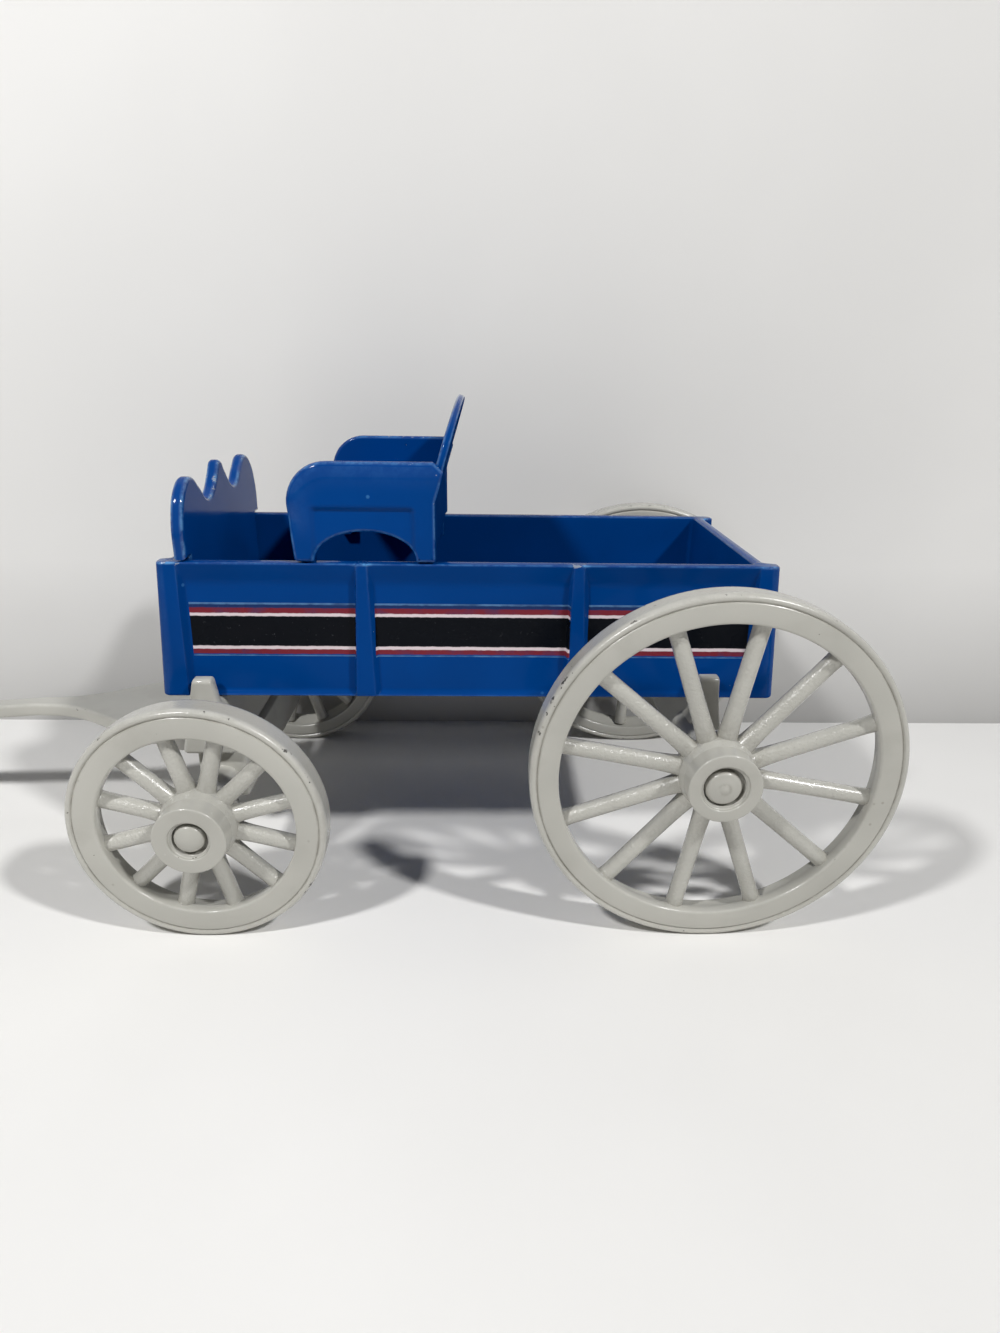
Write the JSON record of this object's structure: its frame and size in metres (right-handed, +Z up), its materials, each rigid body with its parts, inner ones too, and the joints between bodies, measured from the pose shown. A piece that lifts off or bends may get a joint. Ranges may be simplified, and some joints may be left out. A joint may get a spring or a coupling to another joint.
{
  "type": "toy buckboard wagon",
  "caption": "Die-cast toy buckboard wagon: ribbed open bed, wavy footboard, arched-back seat, spoked wheels, steering front axle and hinged tongue.",
  "frame": {"origin": "middle of the wagon's footprint, on the ground under its wheels", "axes": "+Z up, -X forward along the tongue, -Y to the driver's left, the side that the picture shows"},
  "size_m": [0.2538, 0.1126, 0.1082],
  "materials": {
    "blue_enamel": "glossy blue enamel over a zinc casting, with a red, white and black band on the bed's sides",
    "off_white_enamel": "semi-gloss off-white enamel over a zinc casting",
    "plain_steel": "plain bright steel"
  },
  "bodies": {
    "wagon": {"wagon_bed": "blue_enamel", "dash_board": "blue_enamel", "seat_casting": "blue_enamel", "front_bolster": "off_white_enamel", "rear_bolster": "off_white_enamel", "bolster_screw_front_left": "plain_steel", "bolster_screw_front_right": "plain_steel", "bolster_screw_rear_left": "plain_steel", "bolster_screw_rear_right": "plain_steel", "kingpin": "plain_steel", "kingpin_washer": "plain_steel", "rear_axle_rod": "plain_steel", "axle_cap_rear_left": "off_white_enamel", "axle_cap_rear_right": "off_white_enamel", "axle_washer_rear_left": "plain_steel", "axle_washer_rear_right": "plain_steel"},
    "front_truck": {"front_axle_block": "off_white_enamel", "front_axle_rod": "plain_steel", "tongue_pin": "plain_steel", "axle_cap_front_left": "off_white_enamel", "axle_cap_front_right": "off_white_enamel", "axle_washer_front_left": "plain_steel", "axle_washer_front_right": "plain_steel"},
    "tongue": {"tongue": "off_white_enamel"},
    "wheel_front_left": {"wheel_front_left": "off_white_enamel"},
    "wheel_front_right": {"wheel_front_right": "off_white_enamel"},
    "wheel_rear_left": {"wheel_rear_left": "off_white_enamel"},
    "wheel_rear_right": {"wheel_rear_right": "off_white_enamel"}
  },
  "joints": [
    {"name": "steer", "type": "hinge", "parent": "wagon", "child": "front_truck", "pos_m": [-0.01635, 0, 0.0338], "axis": [0, 0, 1], "range_deg": [-20, 20]},
    {"name": "tongue_lift", "type": "hinge", "parent": "front_truck", "child": "tongue", "pos_m": [-0.02895, 0, 0.0308], "axis": [0, 1, 0], "range_deg": [0, 30]},
    {"name": "spin_front_left", "type": "hinge", "parent": "front_truck", "child": "wheel_front_left", "pos_m": [-0.01635, -0.04825, 0.0262], "axis": [0, 1, 0], "continuous": true},
    {"name": "spin_front_right", "type": "hinge", "parent": "front_truck", "child": "wheel_front_right", "pos_m": [-0.01635, 0.04825, 0.0262], "axis": [0, 1, 0], "continuous": true},
    {"name": "spin_rear_left", "type": "hinge", "parent": "wagon", "child": "wheel_rear_left", "pos_m": [0.08885, -0.04825, 0.0381], "axis": [0, 1, 0], "continuous": true},
    {"name": "spin_rear_right", "type": "hinge", "parent": "wagon", "child": "wheel_rear_right", "pos_m": [0.08885, 0.04825, 0.0381], "axis": [0, 1, 0], "continuous": true}
  ]
}
